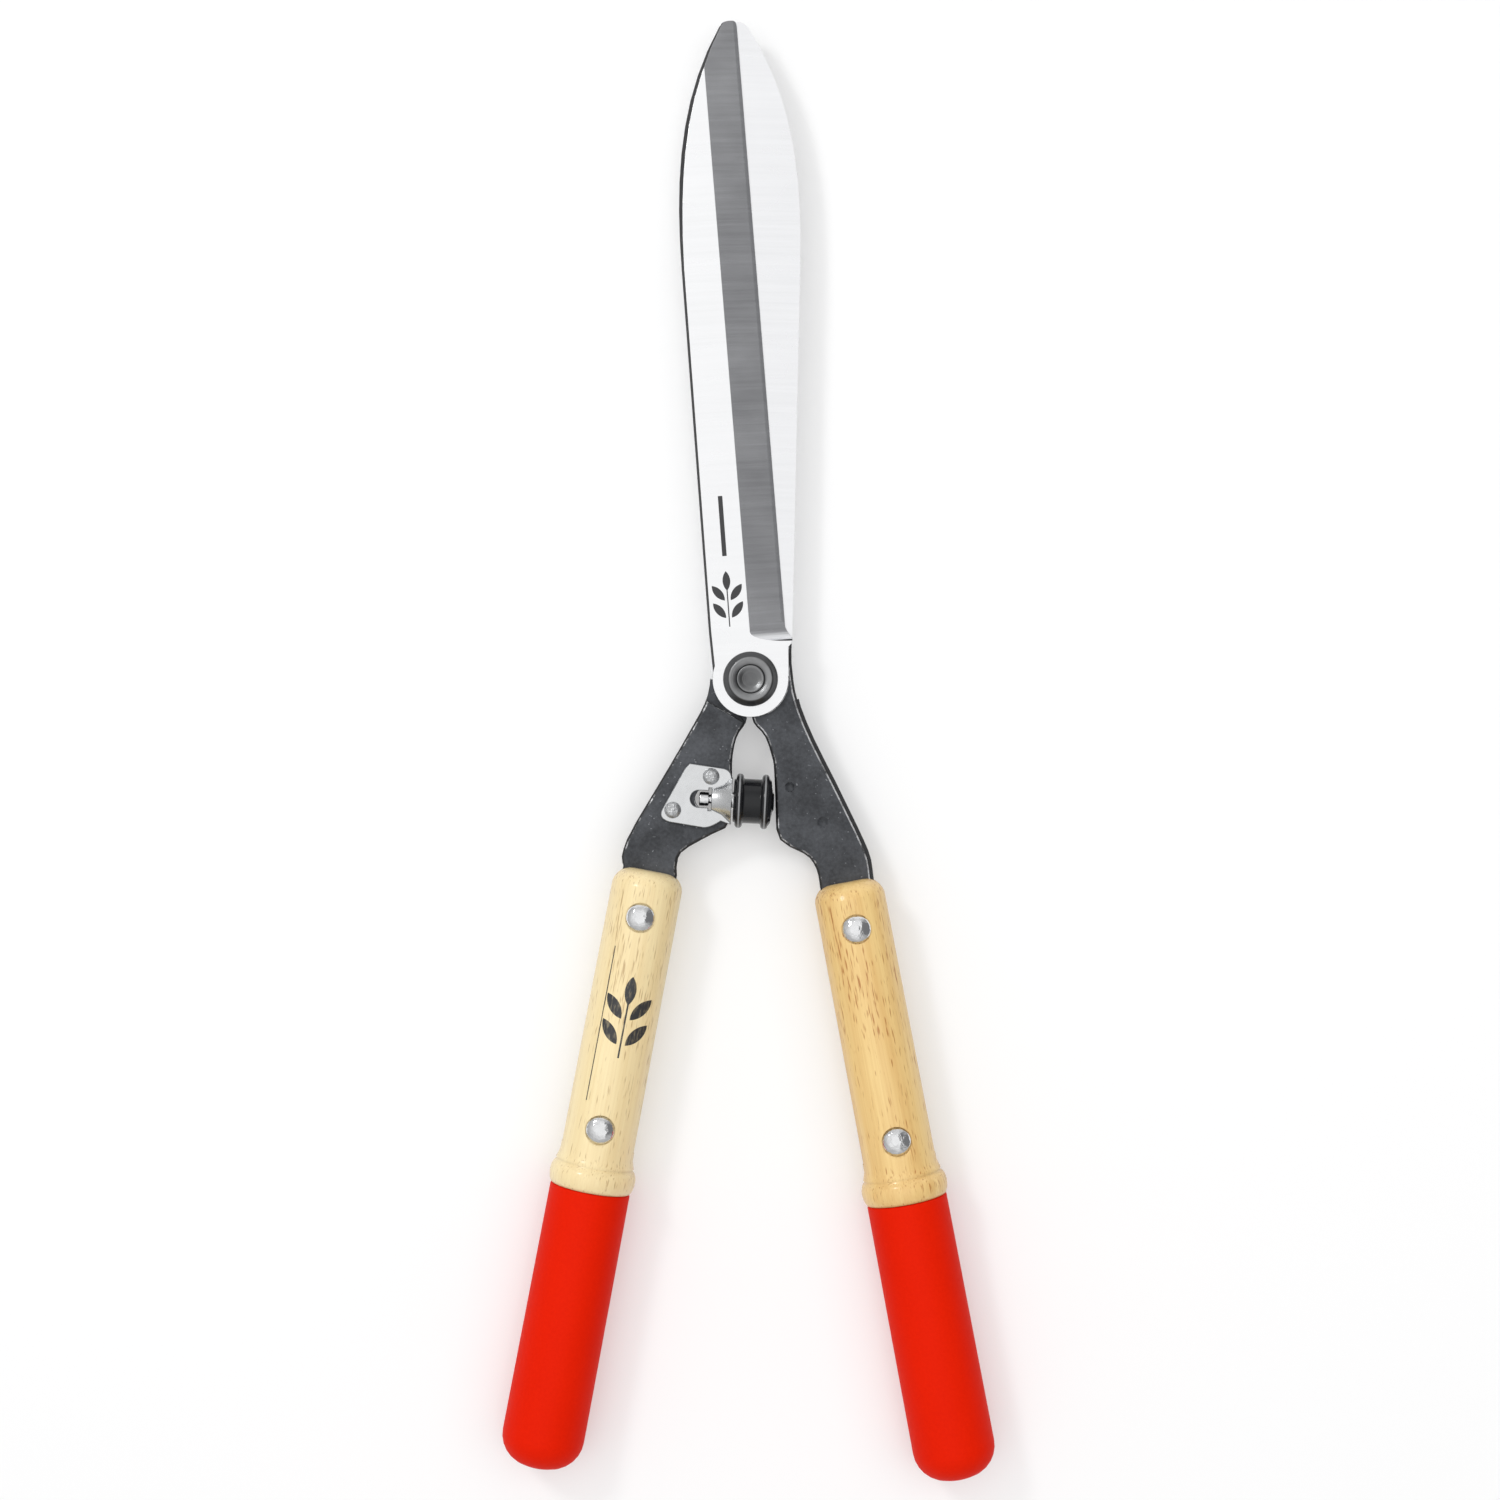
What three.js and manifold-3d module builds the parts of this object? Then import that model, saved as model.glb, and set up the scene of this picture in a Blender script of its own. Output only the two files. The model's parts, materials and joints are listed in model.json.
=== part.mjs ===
// Hedge shears: two forged blades on one pivot, turned wooden handles riveted on the tangs,
// sleeved grips, and a rubber bumper that stops the handles. Millimetres, +Z up.
// The shears lie closed on a table: +Y runs to the blade tips and the pivot turns about Z.
// The origin is on the pivot axis, at the height of the table.
import * as THREE from 'three';
import { mergeVertices } from 'three/addons/utils/BufferGeometryUtils.js';
import Module from 'manifold-3d';

const wasm = await Module();
wasm.setup();

// ---- Driving dimensions ----
const PLANE_HEIGHT = 17.3;          // height of the plane where the two blades meet
const HALF_GAP = 0.15;              // each blade stays this far from that plane
const FIT_GAP = 0.3;                // clearance between pieces that are fastened together

const BLADE_THICKNESS = 4.6;
const BLADE_REACH = 262.9;          // pivot to tip, along the blade
const FRONT_BLADE = { angle: 4.3, spine: -15.2, ear: 17.9 };
const BACK_BLADE = { angle: 1.25, spine: -16.3, ear: 16.1 };
const HEEL_EDGE = { x: 15.4, y: 20.0 };    // cutting edge at the heel, in the blade's own frame
const TIP_EDGE = { x: 14.1, y: 260.4 };    // cutting edge at the tip
const BEVEL_WIDTH = 14.3;
const EDGE_LAND = 0.45;             // thickness left at the cutting edge
const HONED_WIDTH = 1.8;
const HONED_DROP = 0.55;
const WHEEL_RADIUS = 4.8;           // run-out that the grinding wheel leaves at the heel
const BEVEL_START = 18.8;
const SPINE_LEAN = 1;               // the spine's wall leans in this far at the outer face
const TIP_LEAN = 0.8;               // and this much further towards the tip

const BOSS_RADIUS = 15.1;
const STRAP_THICKNESS = 5.2;
const LAP_DISTANCE = 16.3;          // pivot axis to the step where each strap thickens
const LAP_DIRECTION = -60;          // direction of that step seen from the pivot, degrees
const DRAFT_WIDTH = 0.8;            // sloping sides that the forging die leaves round a strap
const DRAFT_HEIGHT = 1.3;
const SLOPE_WIDTH = 1.8;            // a wider slope along the outer side of the front strap
const SLOPE_HEIGHT = 3.4;

const HANDLE_ANGLE = 10.7;          // each handle splays this far from the centre line
const LEFT_HANDLE_TOP = new THREE.Vector2(-40.1, -76.4);
const RIGHT_HANDLE_TOP = new THREE.Vector2(38.5, -80.9);
const HANDLE_LENGTH = 242;
const NECK_START = 112;             // distances along the handle from its upper end
const COLLAR_START = 119.4;
const COLLAR_END = 128.9;
const WOOD_RADIUS = 14.4;
const WOOD_LOWER_RADIUS = 14.7;
const SHOULDER_ROUNDING = 7.5;
const NECK_RADIUS = 15.2;            // bottom of the fine groove above the collar
const COLLAR_RADIUS = PLANE_HEIGHT;
const TENON_RADIUS = 14.2;
const GRIP_RADIUS = 16.1;
const GRIP_END_RADIUS = 16.5;
const GRIP_END_ROUNDING = 12;
const GRIP_END_WALL = 2.2;

const TANG_HALF_WIDTH = 10.9;
const TANG_END_HALF_WIDTH = 8;
const TANG_LENGTH = 112;
const RIVET_PLACES = [18.5, 103.9]; // along the handle, on its axis
const RIVET_SHANK_RADIUS = 3;
const RIVET_HEAD_RADIUS = 5.7;
const RIVET_HEAD_HEIGHT = 2.4;
const RIVET_SEAT = 12.9;            // handle axis to the flat seat under a rivet head
const BURR_THICKNESS = 1;

const SHANK_RADIUS = 4.5;
const THREAD_RADIUS = 4;
const THREAD_PITCH = 1.25;
const HUB_RADIUS = 10.95;
const HUB_TOP_RADIUS = 8.6;
const HUB_HEIGHT = 3.5;
const BOLT_HEAD_RADIUS = 5.6;
const NUT_ACROSS_FLATS = 13;
const NUT_HEIGHT = 6.6;

const BUMPER_ROOT = new THREE.Vector2(-7.2, -48.4);   // where the bumper meets the back strap
const BUMPER_ANGLE = -2.9;
const BUMPER_RADIUS = 11;
const BARREL_RADIUS = 8.9;
const BUMPER_LENGTH = 16.6;
const LIP_RADIUS = 1.5;
const STUD_RADIUS = 4;
const PLATE_THICKNESS = 1.5;
const BRACKET_RIVETS = [['upper', -15.7, -38.8], ['lower', -31, -52.2]];

const ROUND_STEPS = 28;
const SMALL_STEPS = 20;
const CURVE_STEPS = 9;              // per curve of an outline
const SPLINE_STEPS = 2;             // per point of a spline

const BLADE_TOP = HALF_GAP + BLADE_THICKNESS;
const STRAP_TOP = STRAP_THICKNESS / 2;
const degrees = THREE.MathUtils.degToRad;
const ALONG_HANDLE = new THREE.Vector2(Math.sin(degrees(HANDLE_ANGLE)), -Math.cos(degrees(HANDLE_ANGLE)));

// ---- Finishes ----
function finish(color, roughness, metalness) {
  return new THREE.MeshStandardMaterial({ color, roughness, metalness });
}

const groundSteel = finish(0xd6d8db, 0.3, 1);
const darkSteel = finish(0x5c5e61, 0.45, 1);
const zincPlate = finish(0xd3d6d8, 0.3, 1);
const polishedSteel = finish(0xdcdde0, 0.2, 1);
const blackRubber = finish(0x1b1c1f, 0.35, 0);
const paleAsh = finish(0xe5cd9c, 0.5, 0);
const goldenAsh = finish(0xdcb676, 0.5, 0);
const redSleeve = finish(0xe0260c, 0.6, 0);

// ---- Solids ----
function solid(geometry) {
  geometry.deleteAttribute('normal');
  geometry.deleteAttribute('uv');
  const merged = mergeVertices(geometry, 1e-4);
  const corners = merged.index.array;
  const kept = [];
  for (let i = 0; i < corners.length; i += 3) {
    const [a, b, c] = corners.slice(i, i + 3);
    if (a !== b && b !== c && c !== a) kept.push(a, b, c);
  }
  const vertProperties = new Float32Array(merged.attributes.position.array);
  return new wasm.Manifold(new wasm.Mesh({ numProp: 3, vertProperties, triVerts: new Uint32Array(kept) }));
}

function piece(name, body, material, parent) {
  const { vertProperties, triVerts } = body.getMesh();
  const geometry = new THREE.BufferGeometry();
  geometry.setAttribute('position', new THREE.BufferAttribute(new Float32Array(vertProperties), 3));
  geometry.setIndex(new THREE.BufferAttribute(new Uint32Array(triVerts), 1));
  geometry.computeVertexNormals();
  const mesh = new THREE.Mesh(geometry, material);
  mesh.name = name;
  parent.add(mesh);
  return mesh;
}

function extrusion(shape, bottom, top, curveSegments = CURVE_STEPS) {
  const settings = { depth: top - bottom, bevelEnabled: false, curveSegments };
  return new THREE.ExtrudeGeometry(shape, settings).translate(0, 0, bottom);
}

const slab = (shape, bottom, top, curveSegments) => solid(extrusion(shape, bottom, top, curveSegments));

// A profile of [radius, height] pairs, from its lowest point to its highest.
function latheGeometry(profile, steps = ROUND_STEPS) {
  return new THREE.LatheGeometry(profile.map(([r, h]) => new THREE.Vector2(r, h)), steps);
}

const latheZ = (profile, steps) => solid(latheGeometry(profile, steps).rotateX(Math.PI / 2));
const latheX = (profile, steps) => solid(latheGeometry(profile, steps).rotateZ(-Math.PI / 2));
const rod = (radius, bottom, top, steps = SMALL_STEPS) => latheZ(
  [[0, bottom], [radius, bottom], [radius, top], [0, top]], steps);
const rodAt = (radius, bottom, top, x, y) => rod(radius, bottom, top).translate([x, y, 0]);

function block(low, high) {
  const size = high.map((value, i) => value - low[i]);
  const middle = high.map((value, i) => (value + low[i]) / 2);
  return solid(new THREE.BoxGeometry(...size).translate(...middle));
}

// Part of a circle, as points of a profile.
function rounding(centreR, centreH, radius, fromDegrees, toDegrees, steps = 5) {
  const arc = [];
  for (let i = 0; i <= steps; i += 1) {
    const turn = degrees(fromDegrees + ((toDegrees - fromDegrees) * i) / steps);
    arc.push([centreR + radius * Math.cos(turn), centreH + radius * Math.sin(turn)]);
  }
  return arc;
}

// ---- Blades: each forging is drawn with its flat inner face on z = 0 and its outer face up ----
function bladeOutline({ spine, ear }) {
  const outline = new THREE.Shape();
  outline.moveTo(spine + 0.6, 0);
  outline.lineTo(spine, 20);
  outline.lineTo(spine, 165);
  outline.bezierCurveTo(spine, 202.6, spine + 4.3, 233.6, 7.1, 261.2);
  outline.quadraticCurveTo(9.5, BLADE_REACH + 0.4, 12.9, BLADE_REACH);
  outline.quadraticCurveTo(TIP_EDGE.x, BLADE_REACH - 0.3, TIP_EDGE.x, TIP_EDGE.y);
  outline.lineTo(HEEL_EDGE.x, HEEL_EDGE.y);
  outline.quadraticCurveTo(15.7, 18.4, ear, 15.3);
  outline.quadraticCurveTo(ear + 0.1, 13.2, BOSS_RADIUS + 0.9, 11.7);
  outline.lineTo(BOSS_RADIUS + 0.2, 0);
  return outline;
}

// The blank is extruded, and then its spine wall is leaned in at the outer face.
function bladeBlank(size) {
  const blank = extrusion(bladeOutline(size), HALF_GAP, BLADE_TOP);
  const corners = blank.attributes.position;
  for (let i = 0; i < corners.count; i += 1) {
    const [x, y, z] = [corners.getX(i), corners.getY(i), corners.getZ(i)];
    const nearTip = THREE.MathUtils.smoothstep(y, 150, 215);
    const onSpine = x < TIP_EDGE.x / 2 + 1;
    if (onSpine && z > HALF_GAP + EDGE_LAND) corners.setX(i, x + SPINE_LEAN + TIP_LEAN * nearTip);
  }
  return solid(blank);
}

// The ground bevel is the space swept by the wheel: flat along the edge, round where the wheel lifts.
function bevelCutter(lowAtEdge, width, drop, start) {
  const along = new THREE.Vector3(TIP_EDGE.x - HEEL_EDGE.x, TIP_EDGE.y - HEEL_EDGE.y, 0).normalize();
  const across = new THREE.Vector3(along.y, -along.x, 0).multiplyScalar(width);
  across.z = -drop;
  across.normalize();
  const outward = new THREE.Vector3().crossVectors(across, along);
  const side = new THREE.Shape();
  side.moveTo(BLADE_REACH, 0);
  side.lineTo(BLADE_REACH, 2 * WHEEL_RADIUS);
  side.lineTo(-WHEEL_RADIUS, 2 * WHEEL_RADIUS);
  side.lineTo(-WHEEL_RADIUS, WHEEL_RADIUS);
  side.absarc(0, WHEEL_RADIUS, WHEEL_RADIUS, Math.PI, 1.5 * Math.PI, false);
  const reach = 3 * width;
  const cutter = extrusion(side, -reach, reach, 4);
  cutter.applyMatrix4(new THREE.Matrix4().makeBasis(along, outward, across));
  const slope = (TIP_EDGE.x - HEEL_EDGE.x) / (TIP_EDGE.y - HEEL_EDGE.y);
  const edgeX = HEEL_EDGE.x + (start - HEEL_EDGE.y) * slope;
  return solid(cutter.translate(edgeX, start, lowAtEdge));
}

function blade(size) {
  const drop = BLADE_THICKNESS - EDGE_LAND - HONED_DROP / 2;
  const bevel = bevelCutter(BLADE_TOP - drop, BEVEL_WIDTH, drop, BEVEL_START);
  const honing = bevelCutter(HALF_GAP + EDGE_LAND, HONED_WIDTH, HONED_DROP + 0.3, BEVEL_START + 4);
  return bladeBlank(size).subtract(bevel).subtract(honing).rotate([0, 0, size.angle]);
}

// A point of the tang: how far down it, and how far to its outer side.
function onTang(handleTop, distance, offset) {
  const sideways = new THREE.Vector2(-ALONG_HANDLE.y, ALONG_HANDLE.x);
  return handleTop.clone().addScaledVector(ALONG_HANDLE, distance).addScaledVector(sideways, offset);
}

// A strap runs from the shoulder beside the boss, down its outer edge, round the tang inside the
// handle, and back up its inner edge to the notch under the boss.
function strapOutline(outer, inner, handleTop) {
  const outline = new THREE.Shape();
  outline.moveTo(12, 14.2);
  outline.lineTo(outer[0].x, outer[0].y);
  outline.splineThru([...outer.slice(1), onTang(handleTop, 0, TANG_HALF_WIDTH)]);
  const tang = [
    onTang(handleTop, TANG_LENGTH - 3, TANG_END_HALF_WIDTH),
    onTang(handleTop, TANG_LENGTH, TANG_END_HALF_WIDTH - 2),
    onTang(handleTop, TANG_LENGTH, 2 - TANG_END_HALF_WIDTH),
    onTang(handleTop, TANG_LENGTH - 3, -TANG_END_HALF_WIDTH),
    onTang(handleTop, 0, -TANG_HALF_WIDTH),
  ];
  for (const corner of tang) {
    outline.lineTo(corner.x, corner.y);
  }
  outline.splineThru(inner.slice(0, 3));
  outline.quadraticCurveTo(inner[3].x, inner[3].y, inner[4].x, inner[4].y);
  outline.splineThru(inner.slice(5));
  outline.lineTo(-3, -9);
  outline.lineTo(4, 8);
  return outline;
}

const points = (...pairs) => pairs.map(([x, y]) => new THREE.Vector2(x, y));
const FRONT_OUTER = points(
  [17, 14.2], [17.1, 5], [19.4, -8.4], [25, -22.8],
  [34.6, -42], [44.2, -61.8], [48, -71],
);
const FRONT_INNER = points(
  [26.6, -76.5], [23, -70.8], [15.8, -67.1],
  [10.6, -64.8], [10.3, -60],
  [9.5, -37.2], [8.6, -31], [5.8, -22.8], [1.6, -18], [0.6, -15],
);
const BACK_OUTER = points(
  [16, 14.2], [16, 1], [17.8, -8.4], [22.7, -18],
  [33.8, -37.2], [47.6, -60.4], [51.3, -70],
);
const BACK_INNER = points(
  [29.4, -74], [27, -68.6], [15.5, -62],
  [8.3, -60], [8, -56],
  [7.4, -40], [7.2, -31], [5.4, -22.8], [2.2, -18], [1.4, -15],
);

// A slab that keeps its full outline in the middle of its thickness and is narrower at both faces.
function drafted(outline, thickness, width, height) {
  const draft = new THREE.ExtrudeGeometry(outline, {
    depth: thickness - 2 * height,
    bevelThickness: height,
    bevelSize: width,
    bevelOffset: -width,
    bevelSegments: 1,
    curveSegments: SPLINE_STEPS,
  });
  return solid(draft.translate(0, 0, STRAP_TOP + height - thickness));
}

const strap = (outline) => drafted(outline, STRAP_THICKNESS, DRAFT_WIDTH, DRAFT_HEIGHT);

// All the space on the inner side of a strap's outer edge, below a wide slope along that edge.
function insideOuterEdge(outer, handleTop) {
  const tangEnd = onTang(handleTop, TANG_LENGTH + 10, TANG_HALF_WIDTH);
  const outline = new THREE.Shape();
  outline.moveTo(-80, 80);
  outline.lineTo(outer[0].x, 80);
  outline.lineTo(outer[0].x, outer[0].y);
  outline.splineThru([...outer.slice(1), onTang(handleTop, 0, TANG_HALF_WIDTH)]);
  outline.lineTo(tangEnd.x, tangEnd.y);
  outline.lineTo(-80, tangEnd.y);
  return drafted(outline, 4 * STRAP_THICKNESS, SLOPE_WIDTH, SLOPE_HEIGHT);
}

function forging(bladeSize, strapBody, handleTop) {
  const lap = block([-80, -80, -STRAP_THICKNESS], [LAP_DISTANCE, 80, HALF_GAP])
    .rotate([0, 0, LAP_DIRECTION]);
  const boss = rod(BOSS_RADIUS, HALF_GAP, BLADE_TOP, 2 * ROUND_STEPS);
  let body = strapBody.subtract(lap).add(boss).add(blade(bladeSize));
  body = body.subtract(rod(SHANK_RADIUS + HALF_GAP, -BLADE_THICKNESS, 2 * BLADE_THICKNESS));
  for (const place of RIVET_PLACES) {
    const at = handleTop.clone().addScaledVector(ALONG_HANDLE, place);
    const hole = rodAt(RIVET_SHANK_RADIUS + FIT_GAP, -BLADE_THICKNESS, BLADE_THICKNESS, at.x, at.y);
    body = body.subtract(hole);
  }
  return body;
}

// Drill marks left in the front strap, where a bracket would be riveted.
function drillMark(radius, depth, x, y) {
  const ball = (radius * radius + depth * depth) / (2 * depth);
  return solid(new THREE.SphereGeometry(ball, 24, 12)).translate([x, y, STRAP_TOP + ball - depth]);
}

function frontForging() {
  const outline = strapOutline(FRONT_OUTER, FRONT_INNER, RIGHT_HANDLE_TOP);
  const body = strap(outline).intersect(insideOuterEdge(FRONT_OUTER, RIGHT_HANDLE_TOP));
  return forging(FRONT_BLADE, body, RIGHT_HANDLE_TOP)
    .subtract(drillMark(2, 1.1, 15.7, -43.1))
    .subtract(drillMark(2.3, 1.1, 28.8, -57.1));
}

function studSlot() {
  const slot = new THREE.Shape();
  const halfWidth = STUD_RADIUS + 0.5;
  slot.moveTo(4, -halfWidth);
  slot.lineTo(4, halfWidth);
  slot.lineTo(-10.5, halfWidth);
  slot.absarc(-10.5, 0, halfWidth, 0.5 * Math.PI, 1.5 * Math.PI, false);
  return slab(slot, -STRAP_THICKNESS, STRAP_THICKNESS);
}

function backForging() {
  const mirroredTop = new THREE.Vector2(-LEFT_HANDLE_TOP.x, LEFT_HANDLE_TOP.y);
  const outline = strapOutline(BACK_OUTER, BACK_INNER, mirroredTop);
  let body = forging(BACK_BLADE, strap(outline), mirroredTop);
  const slot = studSlot().rotate([0, 180, -BUMPER_ANGLE]).translate([-BUMPER_ROOT.x, BUMPER_ROOT.y, 0]);
  body = body.subtract(slot);
  for (const [, x, y] of BRACKET_RIVETS) {
    body = body.subtract(rodAt(2 + FIT_GAP, -STRAP_THICKNESS, STRAP_THICKNESS, -x, y));
  }
  return body;
}

// ---- Pivot ----
function pivotHub() {
  const bottom = BLADE_TOP + HALF_GAP;
  const top = bottom + HUB_HEIGHT;
  const bore = SHANK_RADIUS + HALF_GAP;
  const recess = BOLT_HEAD_RADIUS + HALF_GAP;
  return latheZ([
    [bore, bottom + 0.2], [bore + 0.2, bottom], [HUB_RADIUS - 0.3, bottom], [HUB_RADIUS, bottom + 0.3],
    [HUB_RADIUS - 0.15, bottom + 1], [HUB_TOP_RADIUS + 0.5, top - 0.5], [HUB_TOP_RADIUS, top - 0.1],
    [HUB_TOP_RADIUS - 0.35, top], [recess + 1.1, top - 0.25], [recess + 0.25, top - 0.5],
    [recess, top - 0.75], [recess, bottom + 1.5], [bore, bottom + 1.5], [bore, bottom + 0.2],
  ]);
}

function pivotBolt() {
  const headBottom = BLADE_TOP + 2 * HALF_GAP + 1.5;
  const headTop = headBottom + 1.5;
  const profile = [[0, -PLANE_HEIGHT], [THREAD_RADIUS - 0.9, -PLANE_HEIGHT]];
  const threadTop = -BLADE_TOP - 1.2;
  const turns = Math.floor((PLANE_HEIGHT + threadTop - 0.4) / THREAD_PITCH);
  for (let i = 0; i < turns; i += 1) {
    const root = -PLANE_HEIGHT + 0.4 + i * THREAD_PITCH;
    profile.push([THREAD_RADIUS - 0.65, root]);
    profile.push([THREAD_RADIUS, root + 0.5 * THREAD_PITCH]);
  }
  profile.push([THREAD_RADIUS - 0.65, threadTop]);
  profile.push([SHANK_RADIUS, threadTop + 0.6]);
  profile.push([SHANK_RADIUS, headBottom]);
  profile.push([BOLT_HEAD_RADIUS, headBottom]);
  profile.push([BOLT_HEAD_RADIUS, headTop - 0.4]);
  profile.push([BOLT_HEAD_RADIUS - 0.4, headTop]);
  profile.push([BOLT_HEAD_RADIUS - 0.9, headTop - 0.05]);
  profile.push([BOLT_HEAD_RADIUS - 1.7, headTop - 0.45]);
  profile.push([BOLT_HEAD_RADIUS - 2.6, headTop - 0.7]);
  profile.push([0, headTop - 0.8]);
  return latheZ(profile, SMALL_STEPS);
}

const washer = (bore, radius, bottom, top) => latheZ([
  [bore, bottom], [radius - 0.25, bottom], [radius, bottom + 0.25],
  [radius, top - 0.25], [radius - 0.25, top], [bore, top], [bore, bottom],
], SMALL_STEPS);

function springWasher(bottom, top) {
  const ring = washer(THREAD_RADIUS + FIT_GAP, 7.4, bottom, top);
  const split = block([-0.6, 2, bottom - 3], [0.6, 12, top + 3]).rotate([0, 20, 0]);
  return ring.subtract(split);
}

function pivotNut(bottom) {
  const corner = NUT_ACROSS_FLATS / 2 / Math.cos(Math.PI / 6);
  const top = bottom + NUT_HEIGHT;
  const hexagon = new THREE.Shape();
  for (let i = 0; i < 6; i += 1) {
    const turn = (i * Math.PI) / 3;
    const draw = i === 0 ? hexagon.moveTo : hexagon.lineTo;
    draw.call(hexagon, corner * Math.cos(turn), corner * Math.sin(turn));
  }
  const flat = NUT_ACROSS_FLATS / 2;
  const turned = latheZ([
    [0, bottom], [flat - 0.2, bottom], [corner + 0.2, bottom + 0.85],
    [corner + 0.2, top - 0.85], [flat - 0.2, top], [0, top],
  ], SMALL_STEPS + 4);
  const bore = THREAD_RADIUS + HALF_GAP;
  const hole = latheZ([
    [0, bottom - 1], [bore + 1.4, bottom - 1], [bore, bottom + 0.4], [bore, top + 1], [0, top + 1],
  ], SMALL_STEPS);
  return slab(hexagon, bottom, top).intersect(turned).subtract(hole);
}

// ---- Bumper and its bracket ----
function rubberBumper() {
  const left = FIT_GAP + 0.1;
  const seat = STUD_RADIUS + FIT_GAP;
  const neck = BARREL_RADIUS - 0.2;
  const firstLip = 2.7;
  const secondLip = 13;
  return latheX([
    [0, 10.5], [6.3, 10.5], [6.3, 7.7], [seat, 7.7], [seat, left],
    [neck - 0.3, left], [neck, left + 0.3], [neck, firstLip - LIP_RADIUS],
    ...rounding(BUMPER_RADIUS - LIP_RADIUS, firstLip, LIP_RADIUS, -80, 80, 6),
    [BARREL_RADIUS + 0.3, firstLip + LIP_RADIUS], [BARREL_RADIUS, firstLip + LIP_RADIUS + 0.4],
    [BARREL_RADIUS, secondLip - LIP_RADIUS - 0.4], [BARREL_RADIUS + 0.3, secondLip - LIP_RADIUS],
    ...rounding(BUMPER_RADIUS - LIP_RADIUS, secondLip, LIP_RADIUS, -80, 55, 6),
    [BUMPER_RADIUS - 1.5, secondLip + 1.5], [BUMPER_RADIUS - 2.6, secondLip + 2.4],
    [4.4, secondLip + 3], [3.6, BUMPER_LENGTH - 0.3], [3.2, BUMPER_LENGTH], [0, BUMPER_LENGTH],
  ]);
}

function bumperStud() {
  const button = STUD_RADIUS - 1.2;
  return latheX([
    [0, -13.3], [button - 0.3, -13.3], [button, -13], [button, -9.6], [2, -9.2], [2, -8.2],
    [STUD_RADIUS - 0.4, -7.8], [STUD_RADIUS, -7.4], [STUD_RADIUS, 8], [6, 8], [6, 10.2], [0, 10.2],
  ], SMALL_STEPS);
}

function bumperBracket() {
  const bottom = STRAP_TOP + FIT_GAP;
  const top = bottom + PLATE_THICKNESS;
  const outline = new THREE.Shape();
  outline.moveTo(-24.2, -33.6);
  outline.lineTo(-11, -35.6);
  outline.quadraticCurveTo(-7.6, -36.2, -7.5, -39.5);
  outline.lineTo(-8.1, -58);
  outline.lineTo(-11.9, -56.6);
  outline.quadraticCurveTo(-16, -59.4, -19, -59.2);
  outline.lineTo(-32.2, -57);
  outline.quadraticCurveTo(-37.4, -55.6, -34.9, -51.4);
  outline.lineTo(-26.2, -35.8);
  const inRoot = (body) => body.rotate([0, 0, BUMPER_ANGLE]).translate([BUMPER_ROOT.x, BUMPER_ROOT.y, 0]);
  const above = block([-60, -60, bottom], [60, 60, 60]);
  const cone = (shrink) => latheX([
    [0, -8.6], [5.8 - shrink, -8.6], [7.2 - shrink, -4], [10 - shrink, -0.3], [0, -0.3],
  ]);
  const funnel = inRoot(cone(0)).intersect(above);
  const hollow = inRoot(cone(PLATE_THICKNESS - 0.2)).add(inRoot(block([-9.5, -4.5, -9], [-8.4, 4.5, 9])));
  const window = new THREE.Shape();
  window.moveTo(-8.4, -3.4);
  window.lineTo(-8.4, 3.4);
  window.lineTo(-13.4, 3.4);
  window.absarc(-13.4, 0, 3.4, 0.5 * Math.PI, 1.5 * Math.PI, false);
  let body = slab(outline, bottom, top).add(funnel).subtract(hollow);
  body = body.subtract(inRoot(slab(window, 0, 2 * top)));
  for (const [, x, y] of BRACKET_RIVETS) {
    body = body.subtract(rodAt(2 + FIT_GAP, 0, 2 * top, x, y));
  }
  const mouth = inRoot(block([-0.3, -BUMPER_RADIUS, 0], [BUMPER_RADIUS, BUMPER_RADIUS, 20]));
  return body.subtract(mouth);
}

function bracketRivet() {
  const headBottom = STRAP_TOP + PLATE_THICKNESS + 1.5 * FIT_GAP;
  const tail = -STRAP_TOP - HALF_GAP;
  return latheZ([
    [0, tail - 1.4], [2.2, tail - 1.2], [3, tail - 0.6], [3.2, tail], [2, tail], [2, headBottom],
    [3.3, headBottom], [3.3, headBottom + 0.5], [2.5, headBottom + 1.5], [2.1, headBottom + 1.8],
    [0, headBottom + 1.9],
  ], 16);
}

// ---- Handles: drawn along -Y from the upper end, around the handle's axis ----
// The collar is a full round bead, a little thicker where it meets the grip than at the neck.
function collarBead(steps = 8) {
  const bead = [];
  for (let i = 0; i <= steps; i += 1) {
    const foot = THREE.MathUtils.lerp(GRIP_RADIUS, NECK_RADIUS, i / steps);
    const swell = Math.sin((Math.PI * i) / steps) ** 0.6;
    const height = THREE.MathUtils.lerp(-COLLAR_END + 0.1, -COLLAR_START, i / steps);
    bead.push([foot + (COLLAR_RADIUS - foot) * Math.max(swell, 0), height]);
  }
  return bead;
}

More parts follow.
